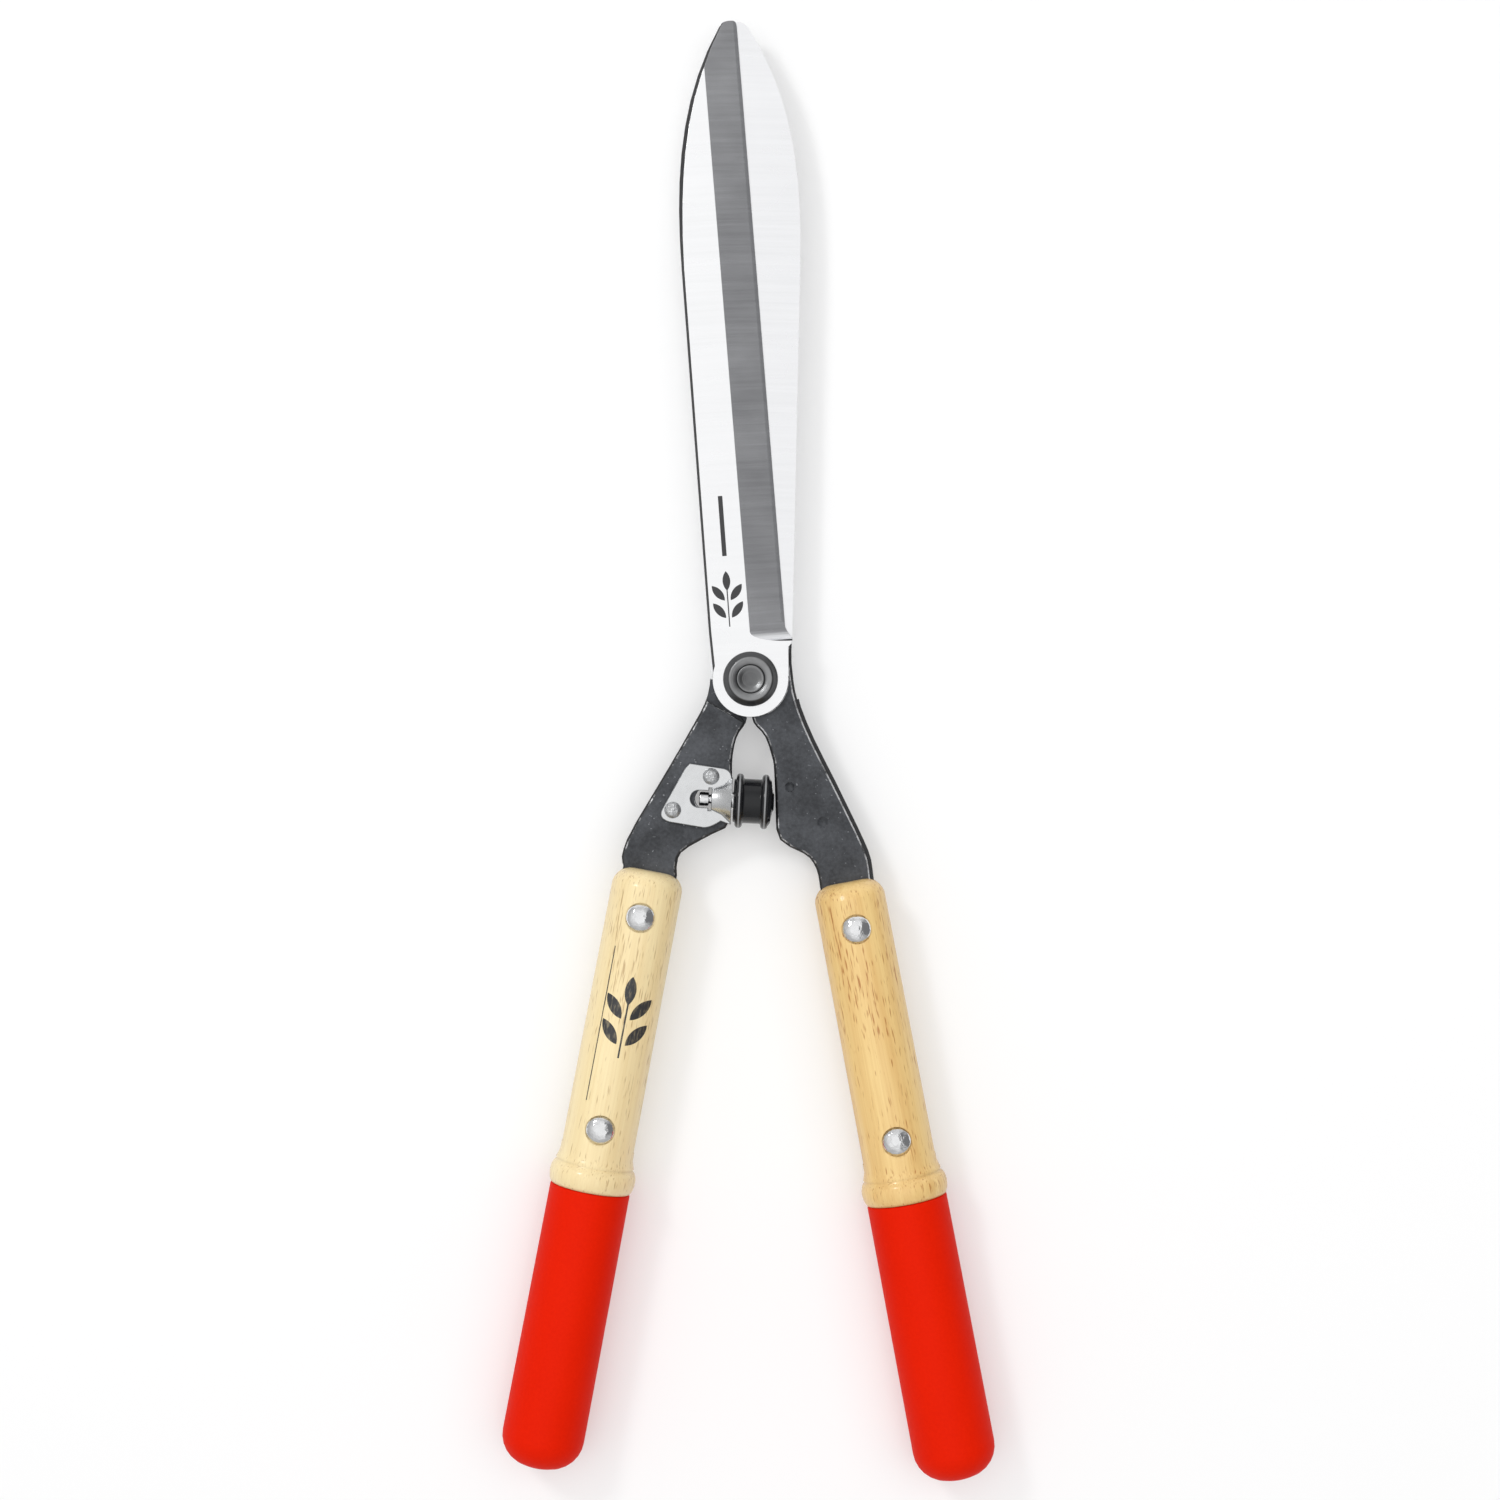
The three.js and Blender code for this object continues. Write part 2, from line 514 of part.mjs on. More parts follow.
function woodBody() {
  const end = 3 - HANDLE_LENGTH;
  const lathe = latheGeometry([
    [0, end], [7, end], [11.5, end + 3], [TENON_RADIUS, end + 9],
    [TENON_RADIUS, -COLLAR_END - 0.2], [TENON_RADIUS + 0.4, -COLLAR_END + 0.1],
    ...collarBead(),
    [NECK_RADIUS + 0.6, -COLLAR_START + 0.6], [NECK_RADIUS + 0.1, -COLLAR_START + 2],
    [WOOD_LOWER_RADIUS + 0.1, -COLLAR_START + 3.8], [WOOD_LOWER_RADIUS, -NECK_START],
    [WOOD_LOWER_RADIUS - 0.1, -90], [WOOD_RADIUS + 0.1, -45], [WOOD_RADIUS, -12],
    ...rounding(WOOD_RADIUS - SHOULDER_ROUNDING, -SHOULDER_ROUNDING, SHOULDER_ROUNDING, 8, 90, 6),
    [0, 0],
  ]);
  const slotHalf = STRAP_TOP + FIT_GAP;
  const slotWidth = 2 * COLLAR_RADIUS;
  const slot = block([-slotWidth, -TANG_LENGTH - 0.5, -slotHalf], [slotWidth, 5, slotHalf]);
  let body = solid(lathe).subtract(slot);
  for (const place of RIVET_PLACES) {
    body = body.subtract(rodAt(RIVET_SHANK_RADIUS + FIT_GAP, -20, 20, 0, -place));
    body = body.subtract(rodAt(RIVET_HEAD_RADIUS + FIT_GAP, RIVET_SEAT, 20, 0, -place));
    body = body.subtract(rodAt(RIVET_HEAD_RADIUS + FIT_GAP + 0.3, -20, -RIVET_SEAT, 0, -place));
  }
  return body;
}

function gripSleeve() {
  const end = -HANDLE_LENGTH;
  const bore = TENON_RADIUS + FIT_GAP;
  const floor = end + GRIP_END_WALL;
  const roundingRadius = GRIP_END_RADIUS - GRIP_END_ROUNDING;
  return solid(latheGeometry([
    [0, end],
    ...rounding(roundingRadius, end + GRIP_END_ROUNDING, GRIP_END_ROUNDING, -90, 0, 7),
    [GRIP_RADIUS + 0.2, -180], [GRIP_RADIUS, -COLLAR_END - 0.8], [GRIP_RADIUS - 0.5, -COLLAR_END - 0.2],
    [bore, -COLLAR_END - 0.2], [bore, floor + 10.1], [11.8, floor + 3.5], [7.2, floor], [0, floor],
  ]));
}

function handleRivet() {
  const head = RIVET_SEAT + HALF_GAP;
  const tail = -RIVET_SEAT - BURR_THICKNESS - 2 * HALF_GAP;
  const dome = rounding(0, 0, 1, 15, 90, 4)
    .map(([r, h]) => [RIVET_HEAD_RADIUS * r, head + RIVET_HEAD_HEIGHT * h]);
  dome[dome.length - 1][0] = 0;
  return latheZ([
    [0, tail - 1.5], [2, tail - 1.35], [3.4, tail - 0.8], [4.1, tail], [RIVET_SHANK_RADIUS, tail],
    [RIVET_SHANK_RADIUS, head], [RIVET_HEAD_RADIUS, head], ...dome,
  ], SMALL_STEPS);
}

function addHandle(side, top, angle, wood, parent) {
  const handle = new THREE.Group();
  handle.position.set(top.x, top.y, 0);
  handle.rotation.z = degrees(angle);
  parent.add(handle);
  piece(`${side}_handle`, woodBody(), wood, handle);
  piece(`${side}_grip`, gripSleeve(), redSleeve, handle);
  ['upper', 'lower'].forEach((level, i) => {
    const rivet = piece(`${side}_${level}_rivet`, handleRivet(), polishedSteel, handle);
    rivet.position.y = -RIVET_PLACES[i];
    const bottom = -RIVET_SEAT - BURR_THICKNESS - HALF_GAP;
    const burr = washer(RIVET_SHANK_RADIUS + HALF_GAP, RIVET_HEAD_RADIUS, bottom, bottom + BURR_THICKNESS);
    piece(`${side}_${level}_rivet_washer`, burr, polishedSteel, handle).position.y = -RIVET_PLACES[i];
  });
}

// ---- The shears ----
const shears = new THREE.Group();
const frontHalf = new THREE.Group();
const backHalf = new THREE.Group();
frontHalf.position.z = PLANE_HEIGHT;
backHalf.position.z = PLANE_HEIGHT;
shears.add(frontHalf, backHalf);

piece('front_blade', frontForging(), groundSteel, frontHalf);
piece('pivot_hub', pivotHub(), darkSteel, frontHalf);
piece('pivot_bolt', pivotBolt(), darkSteel, frontHalf);
const washerTop = -BLADE_TOP - HALF_GAP;
const washerBottom = washerTop - 1.6;
const springBottom = washerBottom - 2 * HALF_GAP - 1.8;
piece('spring_washer', springWasher(springBottom, springBottom + 1.8), darkSteel, frontHalf);
piece('pivot_nut', pivotNut(springBottom - HALF_GAP - NUT_HEIGHT), zincPlate, frontHalf);
addHandle('right', RIGHT_HANDLE_TOP, HANDLE_ANGLE, goldenAsh, frontHalf);

const turnedOver = piece('back_blade', backForging(), groundSteel, backHalf);
turnedOver.rotation.y = Math.PI;
piece('pivot_washer', washer(SHANK_RADIUS + FIT_GAP, 10, washerBottom, washerTop), zincPlate, backHalf);
piece('bumper_bracket', bumperBracket(), zincPlate, backHalf);
for (const [level, x, y] of BRACKET_RIVETS) {
  piece(`bracket_rivet_${level}`, bracketRivet(), polishedSteel, backHalf).position.set(x, y, 0);
}
const bumper = new THREE.Group();
bumper.position.set(BUMPER_ROOT.x, BUMPER_ROOT.y, 0);
bumper.rotation.z = degrees(BUMPER_ANGLE);
backHalf.add(bumper);
piece('rubber_bumper', rubberBumper(), blackRubber, bumper);
piece('bumper_stud', bumperStud(), polishedSteel, bumper);
addHandle('left', LEFT_HANDLE_TOP, -HANDLE_ANGLE, paleAsh, backHalf);

export default shears;
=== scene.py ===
# %% [markdown]
# # Hedge shears
# Two forged blades turn on one bolt. Each ends in a tang that is riveted into a slotted wooden handle,
# and a rubber bumper stops the handles. The solid model is already made, so this script only finishes it:
# it copies each solid, gives it a finer surface, and gives every surface a material. Lengths are in
# metres.

# %% Load the frame
import json
import math

import bmesh
import bpy
import numpy as np
from mathutils import Matrix, Vector


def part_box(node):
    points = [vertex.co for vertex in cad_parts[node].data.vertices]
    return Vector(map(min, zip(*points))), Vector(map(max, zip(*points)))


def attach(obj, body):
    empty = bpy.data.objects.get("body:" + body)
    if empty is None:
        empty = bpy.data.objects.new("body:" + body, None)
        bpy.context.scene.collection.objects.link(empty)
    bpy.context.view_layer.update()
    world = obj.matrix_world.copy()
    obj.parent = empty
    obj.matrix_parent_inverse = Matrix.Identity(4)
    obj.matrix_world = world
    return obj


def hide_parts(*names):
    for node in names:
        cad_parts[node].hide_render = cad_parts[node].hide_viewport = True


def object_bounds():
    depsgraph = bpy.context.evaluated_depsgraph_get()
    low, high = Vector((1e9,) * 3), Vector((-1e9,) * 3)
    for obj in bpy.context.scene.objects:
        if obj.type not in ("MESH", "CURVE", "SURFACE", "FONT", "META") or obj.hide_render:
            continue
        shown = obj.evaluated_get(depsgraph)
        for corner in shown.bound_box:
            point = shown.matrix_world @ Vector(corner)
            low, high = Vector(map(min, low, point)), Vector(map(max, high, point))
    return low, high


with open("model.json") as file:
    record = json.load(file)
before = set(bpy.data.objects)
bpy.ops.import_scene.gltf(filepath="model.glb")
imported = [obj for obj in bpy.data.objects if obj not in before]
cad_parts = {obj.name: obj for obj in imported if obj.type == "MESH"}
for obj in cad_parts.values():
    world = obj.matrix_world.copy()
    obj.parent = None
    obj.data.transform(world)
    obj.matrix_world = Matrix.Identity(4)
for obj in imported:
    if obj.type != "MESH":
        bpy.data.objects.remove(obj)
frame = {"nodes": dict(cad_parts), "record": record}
cad_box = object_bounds()
print("solid model:", cad_box)

# %% [markdown]
# The imported record says which body each solid moves with, and which material slot it takes its finish
# from. A small dictionary turns the bodies round, so that every new piece can look up its body by the name
# of its solid.

# %% Bodies by solid
MM = 0.001
record = frame["record"]
BODY_OF = {node: body for body, nodes in record["behaviour"]["bodies"].items() for node in nodes}
PIVOT = Vector(record["behaviour"]["joints"][0]["pos_m"])
print(len(BODY_OF), "solids, pivot at", tuple(PIVOT))

# %% [markdown]
# The camera looks straight down on the shears, as a catalogue shows a flat tool. A lens a little longer
# than normal keeps the handles from leaning outwards. Its height follows from the width that the view
# should take in at the plane of the blades.

# %% Camera
VIEW_WIDTH = 0.6
LENS = 65.0
SENSOR = 36.0
low, high = (Vector(corner) for corner in cad_box)
camera_data = bpy.data.cameras.new("camera")
camera_data.lens = LENS
camera_data.sensor_width = SENSOR
camera = bpy.data.objects.new("camera", camera_data)
bpy.context.scene.collection.objects.link(camera)
camera.location = (-0.2 * MM, (low.y + high.y) / 2, PIVOT.z + VIEW_WIDTH * LENS / SENSOR)
bpy.context.scene.camera = camera
print("camera at", tuple(camera.location))

# %% [markdown]
# Materials and light are both built from shader nodes. Writing one node for every sum soon hides what
# they do, so a small class wraps a node's output and lets Python's own signs stand for the Math nodes.

# %% Shader helpers
class Wire:
    """One output of a shader node. Arithmetic on it adds Math nodes."""

    def __init__(self, graph, socket):
        self.graph = graph
        self.socket = socket

    def maths(self, operation, *values):
        return self.graph.node("Math", {"operation": operation}, dict(enumerate(values)))

    def __add__(self, other):
        return self.maths("ADD", self, other)

    def __radd__(self, other):
        return self.maths("ADD", other, self)

    def __sub__(self, other):
        return self.maths("SUBTRACT", self, other)

    def __rsub__(self, other):
        return self.maths("SUBTRACT", other, self)

    def __mul__(self, other):
        return self.maths("MULTIPLY", self, other)

    def __rmul__(self, other):
        return self.maths("MULTIPLY", other, self)


class Graph:
    """A node tree under construction."""

    def __init__(self, tree):
        self.tree = tree

    def join(self, value, socket):
        if isinstance(value, Wire):
            self.tree.links.new(value.socket, socket)
        else:
            socket.default_value = (*value, 1) if socket.type == "RGBA" and len(value) == 3 else value

    def node(self, kind, settings, inputs, out=0):
        made = self.tree.nodes.new("ShaderNode" + kind)
        for key, value in settings.items():
            if key == "stops":
                self.fill_ramp(made.color_ramp, value)
            else:
                setattr(made, key, value)
        for key, value in inputs.items():
            self.join(value, made.inputs[key])
        return Wire(self, made.outputs[out])

    def fill_ramp(self, ramp, stops):
        while len(ramp.elements) < len(stops):
            ramp.elements.new(1.0)
        for element, (position, grey) in zip(ramp.elements, stops):
            element.position = position
            element.color = (grey, grey, grey, 1)

    def ramp(self, wire, *stops):
        return self.node("ValToRGB", {"stops": stops}, {0: wire})

    def blend(self, factor, first, second, how="MIX"):
        settings = {"data_type": "RGBA", "blend_type": how}
        return self.node("Mix", settings, {0: factor, 6: first, 7: second}, 2)

    def split(self, vector):
        return [self.node("SeparateXYZ", {}, {0: vector}, axis) for axis in "XYZ"]

    def inside(self, wire, limit):
        """1 where the wire is nearer to zero than the limit, else 0."""
        size = wire.maths("ABSOLUTE", wire)
        return wire.maths("LESS_THAN", size, limit)

    def bar(self, u, v, half_width, half_length):
        return self.inside(u, half_width) * self.inside(v, half_length)

    def leaf(self, u, v, half_width, half_length):
        """A leaf is where two circles overlap."""
        sum_of_both = half_length ** 2 / half_width
        radius, offset = (sum_of_both + half_width) / 2, (sum_of_both - half_width) / 2
        across = u.maths("ABSOLUTE", u) + offset
        distance = u.maths("SQRT", across * across + v * v)
        return u.maths("LESS_THAN", distance, radius)


# %% [markdown]
# A material is a graph that ends in a Principled shader. Its patterns are laid out in object coordinates,
# which every piece shares because no piece is moved or turned, so a pattern can be placed in metres. The
# small printed mark is made of bars and leaves: shapes that are 1 inside and 0 outside.

# %% Materials as graphs
SPRIG_LEAVES = ((0, 0.95, 0), (-0.42, 0.4, 38), (0.42, 0.4, -38), (-0.42, -0.42, 38), (0.42, -0.42, -38))


class Finish(Graph):
    """A material: a Principled shader, and nodes that feed it."""

    def __init__(self, name, **values):
        self.material = bpy.data.materials.new(name)
        self.material.use_nodes = True
        super().__init__(self.material.node_tree)
        self.shader = self.tree.nodes["Principled BSDF"]
        self.set(**values)

    def set(self, **values):
        for name, value in values.items():
            self.join(value, self.shader.inputs[name.replace("_", " ")])

    def place(self, at=(0, 0, 0), turn=0.0, lengths=(1, 1, 1)):
        """Object coordinates centred on a point, turned about Z, and counted in the given lengths."""
        coords = self.node("TexCoord", {}, {}, "Object")
        inputs = {"Vector": coords, "Location": at, "Rotation": (0, 0, turn), "Scale": lengths}
        return self.node("Mapping", {"vector_type": "TEXTURE"}, inputs)

    def sprig(self, at, lean, scale):
        """A plain printed mark: a stem with five leaves, about 2.6 times the scale in height."""
        lengths = (scale, scale, scale)
        u, v, _ = self.split(self.place(at, lean, lengths))
        mark = self.bar(u, v + 0.3, 0.028, 0.9)
        for across, along, turn in SPRIG_LEAVES:
            spot = Vector(at) + Matrix.Rotation(lean, 3, "Z") @ Vector((across, along, 0)) * scale
            leaf_u, leaf_v, _ = self.split(self.place(spot, lean + math.radians(turn), lengths))
            mark = mark.maths("MAXIMUM", mark, self.leaf(leaf_u, leaf_v, 0.18, 0.46))
        return mark

    def noise(self, vector, detail=3.0, rough=0.5, distortion=0.0):
        values = {"Vector": vector, "Scale": 1.0, "Detail": detail, "Roughness": rough,
                  "Distortion": distortion}
        return self.node("TexNoise", {}, values, "Fac")

    def bump(self, height, depth, under=None):
        inputs = {"Height": height, "Distance": depth, "Strength": 1.0}
        if under is not None:
            inputs["Normal"] = under
        return self.node("Bump", {}, inputs)


# %% [markdown]
# Polished steel only looks like steel when it has something to reflect. The sky of this studio is bright
# overhead, so the flat faces of the blades turn almost white, and it dims towards the horizon. On the
# right it has a dark screen: the blade's bevel leans that way and reflects it, which is what makes the
# bevel grey. Beyond the tips is a white wall, for the scoop at the foot of the bevel to reflect. Two
# panels that aren't mirrored anywhere lift the dull surfaces and the floor, and one small lamp puts a
# glint on every round edge.

# %% Light
def studio_sky():
    world = bpy.data.worlds.new("studio")
    bpy.context.scene.world = world
    world.use_nodes = True
    sky = Graph(world.node_tree)
    x, y, z = sky.split(sky.node("TexCoord", {}, {}, "Generated"))
    dome = sky.ramp(z, (0.0, 0.42), (0.5, 0.55), (0.85, 0.82), (0.96, 1.0))
    to_the_right = sky.ramp(x, (0.24, 0.0), (0.42, 1.0))
    in_the_middle = sky.ramp(y.maths("ABSOLUTE", y), (0.4, 1.0), (0.7, 0.0))
    screen = to_the_right * in_the_middle
    far_wall = sky.ramp(y, (0.6, 0.0), (0.85, 0.9))
    room = dome.maths("MAXIMUM", dome, far_wall)
    sky.join(sky.blend(screen, room, (0.2, 0.2, 0.205)), world.node_tree.nodes["Background"].inputs[0])


def panel(name, size, place, watts, mirrored=False):
    light = bpy.data.lights.new(name, "AREA")
    light.shape = "SQUARE"
    light.size = size
    light.energy = watts
    holder = bpy.data.objects.new(name, light)
    holder.location = place
    holder.rotation_euler = (-Vector(place)).to_track_quat("-Z", "Y").to_euler()
    holder.visible_glossy = mirrored
    holder.visible_camera = False
    bpy.context.scene.collection.objects.link(holder)


studio_sky()
panel("fill_left", 1.6, (-0.5, 0.0, 1.8), 7)
panel("fill_right", 1.6, (0.9, 0.0, 1.8), 11)
panel("glint", 0.3, (-0.85, 0.75, 1.3), 6, mirrored=True)
bpy.context.scene.view_settings.view_transform = "Standard"

# %% [markdown]
# The floor is one large pale sheet. It glows a little, like a light table, which keeps the shadows under
# the shears soft and pale.

# %% Floor
FLOOR_HALF_WIDTH = 6
floor_mesh = bpy.data.meshes.new("floor")
floor_bm = bmesh.new()
bmesh.ops.create_grid(floor_bm, x_segments=1, y_segments=1, size=FLOOR_HALF_WIDTH)
floor_bm.to_mesh(floor_mesh)
floor_bm.free()
floor = bpy.data.objects.new("floor", floor_mesh)
bpy.context.scene.collection.objects.link(floor)
paper = Finish("pale_floor", Base_Color=(0.68, 0.68, 0.68), Roughness=0.9, Specular_IOR_Level=0.1)
paper.set(Emission_Color=(1.0, 1.0, 1.0), Emission_Strength=0.25)
floor.data.materials.append(paper.material)

# %% [markdown]
# ## Materials
# The blades are ground across their length, so their scratches run crosswise. The scratches are a noise
# that is stretched sideways: a long length across the blade, and a very short one along it. The front
# blade also carries a small printed sprig with a bar above it. They are drawn with sums of distances, so
# they need no picture. The two blades lean to opposite sides of the centre line, and each has its own
# materials, turned with it.

# %% Blade steel
def ground_steel(name, colour, roughness, lean, streaks):
    steel = Finish(name, Metallic=1.0, Base_Color=colour, Roughness=roughness)
    fine = steel.noise(steel.place(turn=lean, lengths=(0.03, 0.0003, 0.03)), detail=4, rough=0.7)
    coarse = steel.noise(steel.place(turn=lean, lengths=(0.06, 0.0022, 0.06)), detail=3)
    cloud = steel.noise(steel.place(turn=lean, lengths=(0.03, 0.02, 0.03)), detail=4)
    shade = 1.0 + streaks * (fine + coarse + cloud - 1.5)
    steel.colour = steel.blend(1.0, colour, shade, "MULTIPLY")
    steel.set(Base_Color=steel.colour, Roughness=roughness + 0.1 * cloud,
              Normal=steel.bump(fine + coarse, 0.000004))
    return steel


INK = (0.03, 0.03, 0.032)


def print_on_blade(steel, at, lean):
    u, v, height = steel.split(steel.place(at=at, turn=lean))
    mark = steel.sprig(at, lean, 0.0085) + steel.bar(u, v - 0.03, 0.0009, 0.012)
    mark = mark * steel.inside(height, 0.5 * MM)
    steel.set(Base_Color=steel.blend(mark, steel.colour, INK), Metallic=1.0 - mark)


FRONT_LEAN = math.radians(4.3)
BACK_LEAN = math.radians(-1.25)
front_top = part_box("front_blade")[1][2]
front_steel = ground_steel("front_ground_face", (0.94, 0.945, 0.955), 0.22, FRONT_LEAN, 0.06)
print_on_blade(front_steel, (-0.009, 0.031, front_top), FRONT_LEAN)
front_face = front_steel.material
back_face = ground_steel("back_ground_face", (0.89, 0.895, 0.91), 0.22, BACK_LEAN, 0.08).material
front_bevel = ground_steel("front_ground_bevel", (0.83, 0.84, 0.86), 0.2, FRONT_LEAN, 0.3).material
back_bevel = ground_steel("back_ground_bevel", (0.83, 0.84, 0.86), 0.2, BACK_LEAN, 0.3).material

# %% [markdown]
# The straps keep the black skin of the forge. It is not quite even: a fine pebble from the die, and paler
# patches where it has rubbed. Its edges are worn to bright metal in places, and paler still along the outer
# side of the right strap. The steep sides get a near-black copy of the skin, which is painted shade.

# %% Forge skin and worn edges
def forge_skin():
    skin = Finish("forge_skin", Metallic=0.3, Specular_IOR_Level=0.45)
    patch = skin.noise(skin.place(lengths=(0.016, 0.016, 0.016)), detail=5, rough=0.6)
    pebble = skin.noise(skin.place(lengths=(0.0014, 0.0014, 0.0014)), detail=4, rough=0.7)
    shade = skin.ramp(patch * 0.6 + pebble * 0.4, (0.38, 0.0), (0.64, 1.0))
    black = skin.blend(shade, (0.03, 0.032, 0.036), (0.085, 0.09, 0.1))
    dust = skin.noise(skin.place(lengths=(0.0012, 0.0012, 0.0012)), detail=1)
    specks = skin.ramp(dust, (0.74, 0.0), (0.8, 0.6))
    skin.set(Base_Color=skin.blend(specks, black, (0.34, 0.35, 0.37)), Roughness=0.4 + 0.25 * pebble,
             Normal=skin.bump(pebble + 0.4 * patch, 0.0001))
    return skin.material


def worn_edge():
    edge = Finish("worn_edge", Metallic=1.0)
    rub = edge.noise(edge.place(lengths=(0.006, 0.006, 0.006)), detail=4, rough=0.7)
    x, y, _ = edge.split(edge.place())
    # Only the outer side of the right strap lies past this line.
    outer_right = x.maths("GREATER_THAN", x + 0.5 * y, 0.0)
    # The edges are paler along the outer side of the right strap.
    pale_metal = edge.ramp(rub + 0.13 * outer_right, (0.5, 0.0), (0.68, 1.0))
    edge.set(Base_Color=edge.blend(pale_metal, (0.09, 0.092, 0.096), (0.85, 0.855, 0.87)),
             Roughness=0.6 - 0.15 * pale_metal)
    return edge.material


black_skin = forge_skin()
rubbed_edge = worn_edge()
# The steep sides of the straps and blades get this near-black skin: painted shade.
painted_shade_skin = Finish("painted_shade_side_skin", Base_Color=(0.012, 0.012, 0.014), Roughness=0.6,
                   Specular_IOR_Level=0.2).material

# %% [markdown]
# The hub and bolt are dark steel with the rings that a lathe leaves. Their colour follows the distance
# from the pivot: painted shade turns the outer rim black, and darkens the dish of the bolt further. Zinc
# plate is brighter and a little cloudy. The rivet heads are polished, so they need little more than a
# faint unevenness that makes their reflections wander.

# %% Turned, plated and polished steel
RINGS = 9000.0  # radians of the wave in each metre, so a ring every 0.7 mm
RAMP_REACH = 20 * MM


def turned_steel(name, colour, roughness, centre):
    steel = Finish(name, Metallic=1.0)
    x, y, _ = steel.split(steel.place(at=centre))
    radius = x.maths("SQRT", x * x + y * y)
    rings = radius.maths("SINE", radius * RINGS)
    cloud = steel.noise(steel.place(lengths=(0.003, 0.003, 0.003)), detail=5, rough=0.65)
    dark = tuple(0.55 * value for value in colour)
    turned = steel.blend(cloud, dark, colour)
    outward = radius * (1 / RAMP_REACH)
    # Painted shade: the outer rim turns black, and the dish of the bolt darker.
    painted_rim_shade = steel.ramp(outward, (0.428, 0.0), (0.442, 0.72))
    painted_dish_shade = steel.ramp(outward, (0.12, 0.5), (0.27, 0.0))
    steel.set(Base_Color=steel.blend(painted_rim_shade + painted_dish_shade, turned, (0.03, 0.03, 0.032)),
              Roughness=roughness + 0.12 * cloud, Normal=steel.bump(0.3 * rings + cloud, 0.00003))
    return steel.material


def plated_steel(name, colour, roughness, unevenness, size=0.006):
    plate = Finish(name, Metallic=1.0)
    cloud = plate.noise(plate.place(lengths=(size, size, size)), detail=3, rough=0.5)
    grit = plate.noise(plate.place(lengths=(0.0008, 0.0008, 0.0008)), detail=3)
    dull = tuple(0.82 * value for value in colour)
    plate.set(Base_Color=plate.blend(cloud, dull, colour), Roughness=roughness + 0.14 * grit,
              Normal=plate.bump(cloud + 0.02 * grit, unevenness))
    return plate.material


pivot_steel = turned_steel("pivot_steel", (0.36, 0.365, 0.37), 0.26, PIVOT)
zinc_plate = plated_steel("zinc_plate", (0.78, 0.79, 0.8), 0.2, 0.0003)
# A darker copy of the zinc for the bracket's rounded edges: painted shade along its rims.
painted_shade_zinc_edge = plated_steel("painted_shade_zinc_edge", (0.4, 0.41, 0.42), 0.3, 0.0003)
dull_rivet = plated_steel("dull_rivet", (0.6, 0.61, 0.62), 0.3, 0.0006, 0.0012)
rivet_steel = plated_steel("rivet_steel", (0.9, 0.905, 0.915), 0.02, 0.0005, 0.0035)

# %% [markdown]
# The bumper is moulded rubber: black, smooth, with a soft shine. Its two lips carry a painted highlight, a
# pale band along each crest, so the material needs to know where the bumper starts and which way it points.

# %% Rubber
LIP_PLACES = (2.3 * MM, 12.6 * MM)
LIP_SHINE = 0.5 * MM


def end_of_bumper():
    """Where the bumper's fixed end lies on its axis, and which way the axis points."""
    centre, direction = axis_of("rubber_bumper")
    if direction.x < 0:
        direction.negate()
    corners = [vertex.co for vertex in frame["nodes"]["rubber_bumper"].data.vertices]
    return centre + direction * min((corner - centre).dot(direction) for corner in corners), direction


def moulded_rubber():
    rubber = Finish("moulded_rubber", Specular_IOR_Level=0.35)
    cloud = rubber.noise(rubber.place(lengths=(0.005, 0.005, 0.005)), detail=4)
    grit = rubber.noise(rubber.place(lengths=(0.0006, 0.0006, 0.0006)), detail=3)
    end, direction = end_of_bumper()
    along, _, _ = rubber.split(rubber.place(end, math.atan2(direction.y, direction.x)))
    # A pale band on the crest of each lip: a painted highlight.
    painted_lip_highlight = 0.0
    for place in LIP_PLACES:
        past_lip = along - place
        from_lip = past_lip.maths("ABSOLUTE", past_lip)
        painted_lip_highlight = painted_lip_highlight + rubber.ramp(from_lip * (1 / LIP_SHINE), (0.35, 1.0), (0.9, 0.0))
    black = rubber.blend(cloud, (0.006, 0.006, 0.007), (0.014, 0.015, 0.017))
    rubber.set(Base_Color=rubber.blend(painted_lip_highlight, black, (0.26, 0.262, 0.268)),
               Roughness=0.1 + 0.12 * cloud, Normal=rubber.bump(grit, 0.00001))
    return rubber.material


# %% [markdown]
# Ash has straight grain with open pores. Three patterns make it: broad bands of early and late wood, a
# fine fibre, and short dark flecks where a pore is cut lengthwise. All are noises stretched along the
# handle, so each handle has its own material, turned to its axis. The left handle is pale and the right
# one golden.

